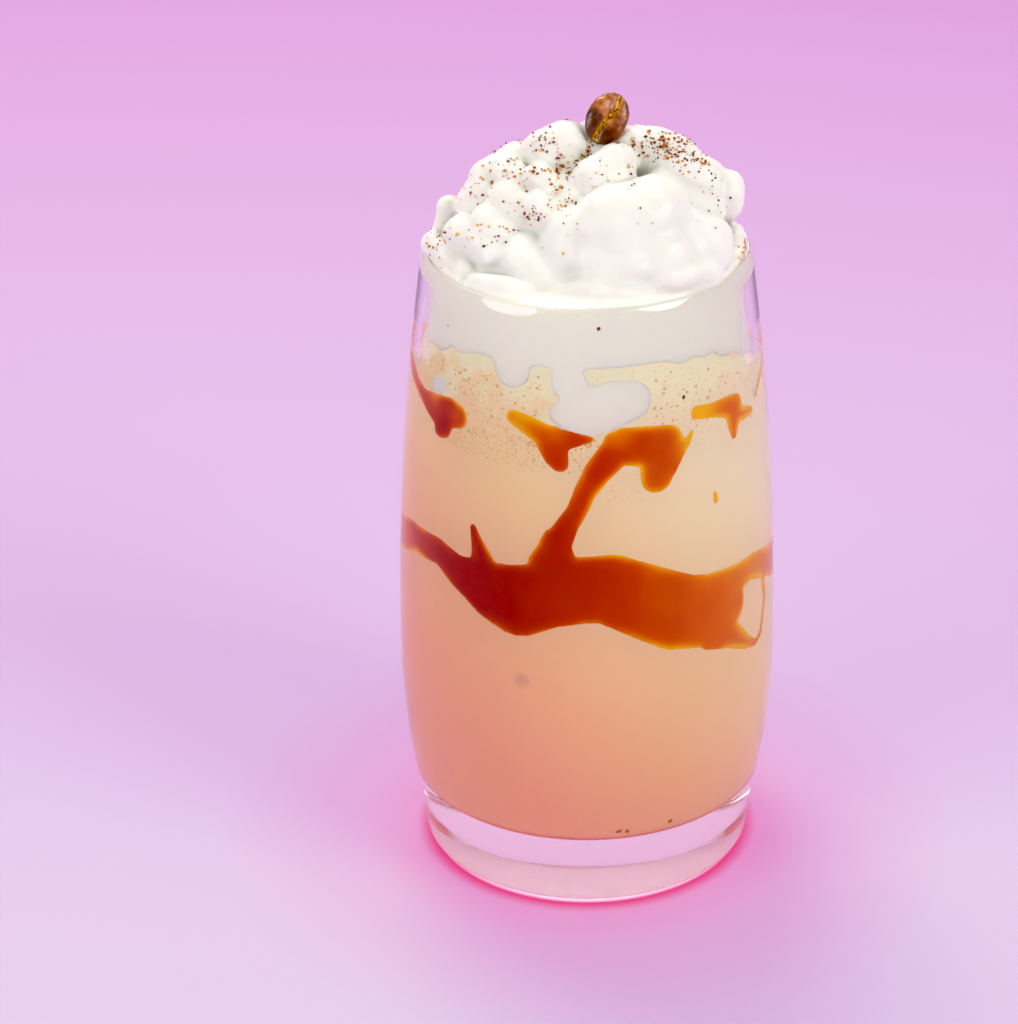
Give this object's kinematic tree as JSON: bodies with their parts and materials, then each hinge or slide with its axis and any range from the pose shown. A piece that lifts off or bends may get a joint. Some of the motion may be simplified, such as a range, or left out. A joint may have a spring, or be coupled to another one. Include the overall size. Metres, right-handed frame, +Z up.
{
  "type": "milkshake",
  "caption": "Barrel-shaped glass tumbler of milkshake with caramel sauce on the inside, a froth layer, whipped cream and a coffee bean on top.",
  "frame": {"origin": "middle of the foot, on the surface that the glass stands on", "axes": "+Z up along the axis of the glass, -Y towards the front, +X to the right"},
  "size_m": [0.078, 0.078, 0.1644],
  "materials": {
    "glass": "polished",
    "milkshake": "satin",
    "froth": "matte",
    "cream": "matte",
    "bean": "satin",
    "caramel": "gloss",
    "spice": "matte"
  },
  "bodies": {
    "root": {"glass_tumbler": "glass", "milkshake": "milkshake", "froth": "froth", "whipped_cream": "cream", "coffee_bean": "bean"}
  },
  "joints": []
}
